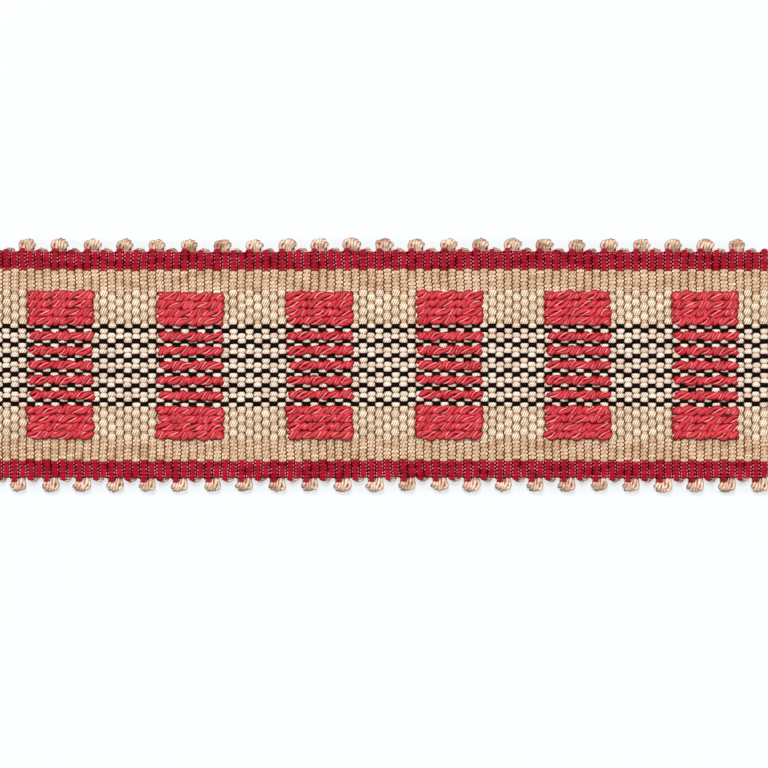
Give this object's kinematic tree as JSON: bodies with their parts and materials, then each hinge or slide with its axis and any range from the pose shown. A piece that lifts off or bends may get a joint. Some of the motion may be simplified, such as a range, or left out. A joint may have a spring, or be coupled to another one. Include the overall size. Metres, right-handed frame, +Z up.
{
  "type": "braid trim",
  "caption": "Flat length of ribbed woven furnishing braid with crimson picot borders, black pin rows and raised coral yarn blocks.",
  "frame": {"origin": "middle of the underside, which lies on the surface", "axes": "+X along the length, +Y across the width towards the far edge, +Z up through the thickness out of the face"},
  "size_m": [0.1524, 0.0508, 0.0032],
  "materials": {
    "beige_rib": "ribbed matt cotton weave with a slight lustre",
    "crimson_border": "ribbed lustrous viscose weave",
    "coral_yarn": "soft thick two-ply viscose yarn, raised",
    "black_pin": "fine black cotton warp ends",
    "weft_cord": "hard twisted multi-ply beige cord"
  },
  "bodies": {
    "root": {"ground_band": "beige_rib", "picot_border_far": "crimson_border", "picot_border_near": "crimson_border", "block_1_row_1": "coral_yarn", "block_1_row_2": "coral_yarn", "block_1_row_3": "coral_yarn", "block_1_row_4": "coral_yarn", "block_1_row_5": "coral_yarn", "block_1_pad_far": "coral_yarn", "block_1_pad_near": "coral_yarn", "block_2_row_1": "coral_yarn", "block_2_row_2": "coral_yarn", "block_2_row_3": "coral_yarn", "block_2_row_4": "coral_yarn", "block_2_row_5": "coral_yarn", "block_2_pad_far": "coral_yarn", "block_2_pad_near": "coral_yarn", "block_3_row_1": "coral_yarn", "block_3_row_2": "coral_yarn", "block_3_row_3": "coral_yarn", "block_3_row_4": "coral_yarn", "block_3_row_5": "coral_yarn", "block_3_pad_far": "coral_yarn", "block_3_pad_near": "coral_yarn", "block_4_row_1": "coral_yarn", "block_4_row_2": "coral_yarn", "block_4_row_3": "coral_yarn", "block_4_row_4": "coral_yarn", "block_4_row_5": "coral_yarn", "block_4_pad_far": "coral_yarn", "block_4_pad_near": "coral_yarn", "block_5_row_1": "coral_yarn", "block_5_row_2": "coral_yarn", "block_5_row_3": "coral_yarn", "block_5_row_4": "coral_yarn", "block_5_row_5": "coral_yarn", "block_5_pad_far": "coral_yarn", "block_5_pad_near": "coral_yarn", "block_6_row_1": "coral_yarn", "block_6_row_2": "coral_yarn", "block_6_row_3": "coral_yarn", "block_6_row_4": "coral_yarn", "block_6_row_5": "coral_yarn", "block_6_pad_far": "coral_yarn", "block_6_pad_near": "coral_yarn"}
  },
  "joints": []
}
